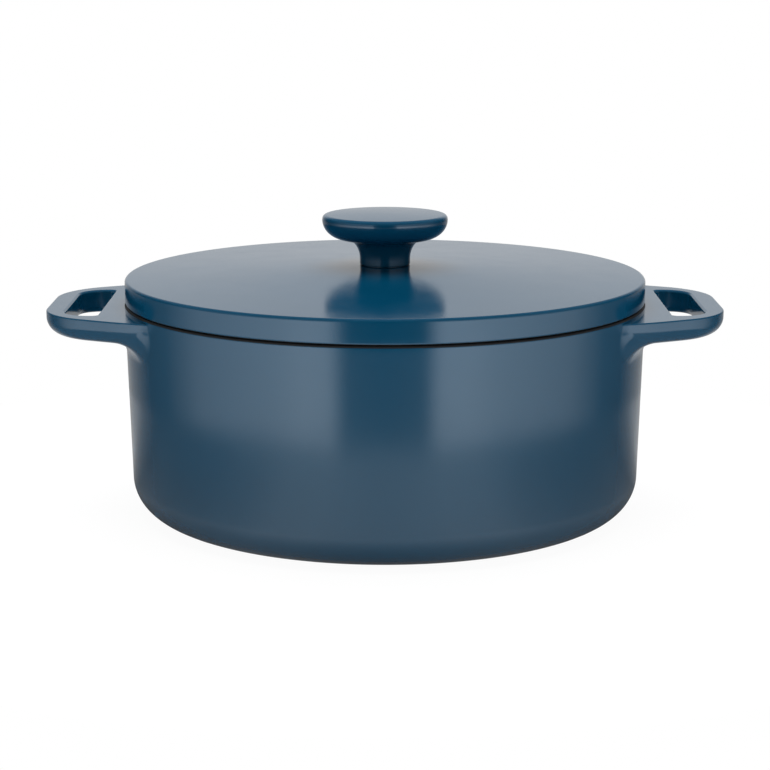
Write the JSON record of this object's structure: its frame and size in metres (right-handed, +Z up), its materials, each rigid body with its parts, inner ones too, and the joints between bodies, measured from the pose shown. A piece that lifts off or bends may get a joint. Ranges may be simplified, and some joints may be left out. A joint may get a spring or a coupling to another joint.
{
  "type": "cast iron dutch oven",
  "caption": "Round enamelled cast iron dutch oven: drafted pot with a flat-topped loop handle on each side, and a flat lid with a mushroom knob that lifts straight off.",
  "frame": {"origin": "centre of the pot's flat base, on the surface it stands on", "axes": "+Z up along the pot's axis; X runs through the two handles; Y across them"},
  "size_m": [0.3742, 0.2906, 0.1672],
  "materials": {
    "pot_enamel": "glossy blue enamel on cast iron",
    "lid_enamel": "glossy blue enamel on cast iron",
    "knob_enamel": "glossy blue enamel on cast iron",
    "gasket": "matt black heat-resistant rubber",
    "fixing_steel": "plain stainless steel"
  },
  "bodies": {
    "pot": {"pot": "pot_enamel"},
    "lid": {"lid": "lid_enamel", "knob": "knob_enamel", "knob_gasket": "gasket", "knob_screw": "fixing_steel", "flat_washer": "fixing_steel", "lock_washer": "fixing_steel"}
  },
  "joints": [
    {"name": "lid_lift", "type": "slide", "parent": "pot", "child": "lid", "axis": [0, 0, 1], "range_m": [0, 0.2]}
  ]
}
